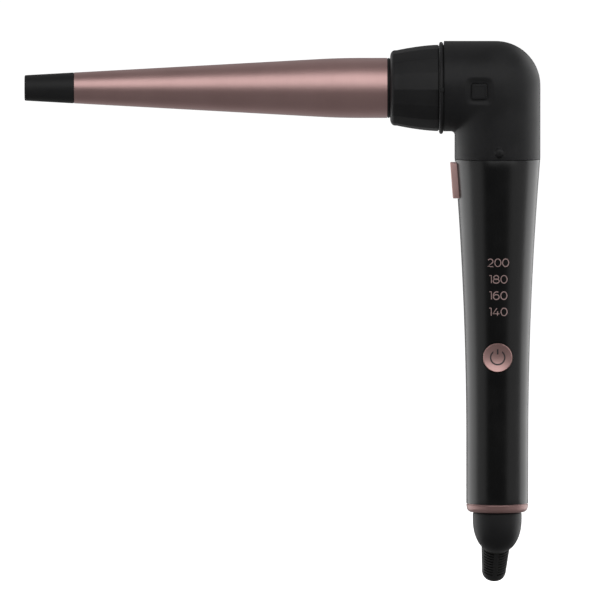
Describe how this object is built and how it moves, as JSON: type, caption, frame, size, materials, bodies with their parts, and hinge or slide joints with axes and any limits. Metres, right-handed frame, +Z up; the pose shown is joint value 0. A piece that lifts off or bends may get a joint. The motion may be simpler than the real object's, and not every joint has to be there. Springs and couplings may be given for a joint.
{
  "type": "curling wand",
  "caption": "L-shaped rotating curling wand: tapered upright handle, corner housing with motor drive, plug-in conical barrel that spins, and a swivelling cord outlet.",
  "frame": {"origin": "on the handle's axis at the middle of the grip, where a hand holds the wand", "axes": "+Z up the handle towards the elbow, -X along the barrel towards its cool tip, -Y out of the face with the power button"},
  "size_m": [0.2144, 0.0387, 0.226],
  "materials": {
    "handle_gloss_plastic": "polished piano-black ABS",
    "housing_matte_plastic": "fine-textured black nylon",
    "collar_matte_plastic": "satin black heat-proof plastic",
    "strain_relief_rubber": "soft black rubber",
    "rose_gold_barrel": "satin rose-gold ceramic coating on aluminium",
    "rose_gold_trim": "rose-gold metallised satin",
    "steel": "zinc-plated and bright steel",
    "brass": "stamped and turned brass",
    "aluminium": "extruded aluminium",
    "ceramic": "fired ceramic and film tape",
    "circuit_board": "green solder mask on glass epoxy",
    "black_component": "moulded component body",
    "acetal": "natural acetal",
    "heat_proof_plastic": "glass-filled PPS",
    "clear_plastic": "clear polycarbonate"
  },
  "bodies": {
    "handle": {"handle_front_shell": "handle_gloss_plastic", "handle_rear_shell": "handle_gloss_plastic", "elbow_front_shell": "housing_matte_plastic", "elbow_rear_shell": "housing_matte_plastic", "handle_screw_upper": "steel", "handle_screw_lower": "steel", "elbow_screw_upper": "steel", "elbow_screw_right": "steel", "elbow_screw_left": "steel", "handle_end_ring": "rose_gold_trim", "swivel_bush": "acetal", "swivel_contact_carrier": "heat_proof_plastic", "swivel_contact_live": "brass", "swivel_contact_neutral": "brass", "main_circuit_board": "circuit_board", "power_switch": "black_component", "temperature_light_guide": "clear_plastic", "supply_transformer": "ceramic", "filter_capacitor": "aluminium", "rocker_pivot_pin": "steel", "rocker_switch_upper": "black_component", "rocker_switch_lower": "black_component", "socket_sleeve": "heat_proof_plastic", "contact_clip_live": "brass", "contact_clip_neutral": "brass", "drive_chassis": "steel", "shaft_bush": "brass", "motor_gearbox": "brass", "drive_motor": "steel"},
    "barrel_unit": {"barrel_collar": "collar_matte_plastic", "collar_flange": "collar_matte_plastic", "hub_bearing_front": "steel", "hub_bearing_rear": "steel", "contact_pin_live": "brass", "contact_pin_neutral": "brass", "brush_holder": "heat_proof_plastic", "brush_live": "black_component", "brush_neutral": "black_component"},
    "barrel": {"barrel_tube": "rose_gold_barrel", "barrel_band": "collar_matte_plastic", "cool_tip": "collar_matte_plastic", "barrel_hub": "heat_proof_plastic", "slip_ring_live": "brass", "slip_ring_neutral": "brass", "heater_half_upper": "aluminium", "heater_half_lower": "aluminium", "ptc_heater": "ceramic", "thermal_fuse": "steel", "thermistor": "ceramic"},
    "drive": {"drive_shaft": "steel", "crown_gear": "acetal"},
    "pinion": {"motor_pinion": "acetal"},
    "rocker": {"direction_rocker": "rose_gold_trim"},
    "power": {"power_button": "rose_gold_trim"},
    "release": {"release_button": "housing_matte_plastic", "latch_yoke": "steel"},
    "cord_outlet": {"cord_swivel_dome": "housing_matte_plastic", "strain_relief": "strain_relief_rubber", "swivel_ring_live": "brass", "swivel_ring_neutral": "brass"}
  },
  "joints": [
    {"name": "barrel_pull", "type": "slide", "parent": "handle", "child": "barrel_unit", "axis": [-1, 0, 0], "range_m": [0, 0.03]},
    {"name": "barrel_spin", "type": "hinge", "parent": "barrel_unit", "child": "barrel", "pos_m": [-0.1, 0, 0.1014], "axis": [1, 0, 0], "continuous": true},
    {"name": "drive_spin", "type": "hinge", "parent": "handle", "child": "drive", "pos_m": [0, 0, 0.1014], "axis": [1, 0, 0], "continuous": true},
    {"name": "pinion_spin", "type": "hinge", "parent": "handle", "child": "pinion", "pos_m": [0, 0, 0.0917], "axis": [0, 0, 1], "continuous": true},
    {"name": "rocker_tilt", "type": "hinge", "parent": "handle", "child": "rocker", "pos_m": [-0.0125, 0, 0.0631], "axis": [0, 1, 0], "range_deg": [-3, 3], "stiffness_Nm_per_rad": 0.2},
    {"name": "power_press", "type": "slide", "parent": "handle", "child": "power", "axis": [0, 1, 0], "range_m": [0, 0.0007], "stiffness_N_per_m": 1500, "springref_m": -0.0005},
    {"name": "release_press", "type": "slide", "parent": "handle", "child": "release", "axis": [0, 1, 0], "range_m": [0, 0.0012], "stiffness_N_per_m": 1500, "springref_m": -0.0005},
    {"name": "cord_swivel", "type": "hinge", "parent": "handle", "child": "cord_outlet", "pos_m": [0, 0, -0.08], "axis": [0, 0, 1], "continuous": true}
  ],
  "couplings": [
    {"joint": "drive_spin", "follows": "barrel_spin", "ratio": 1},
    {"joint": "pinion_spin", "follows": "barrel_spin", "ratio": -3}
  ]
}
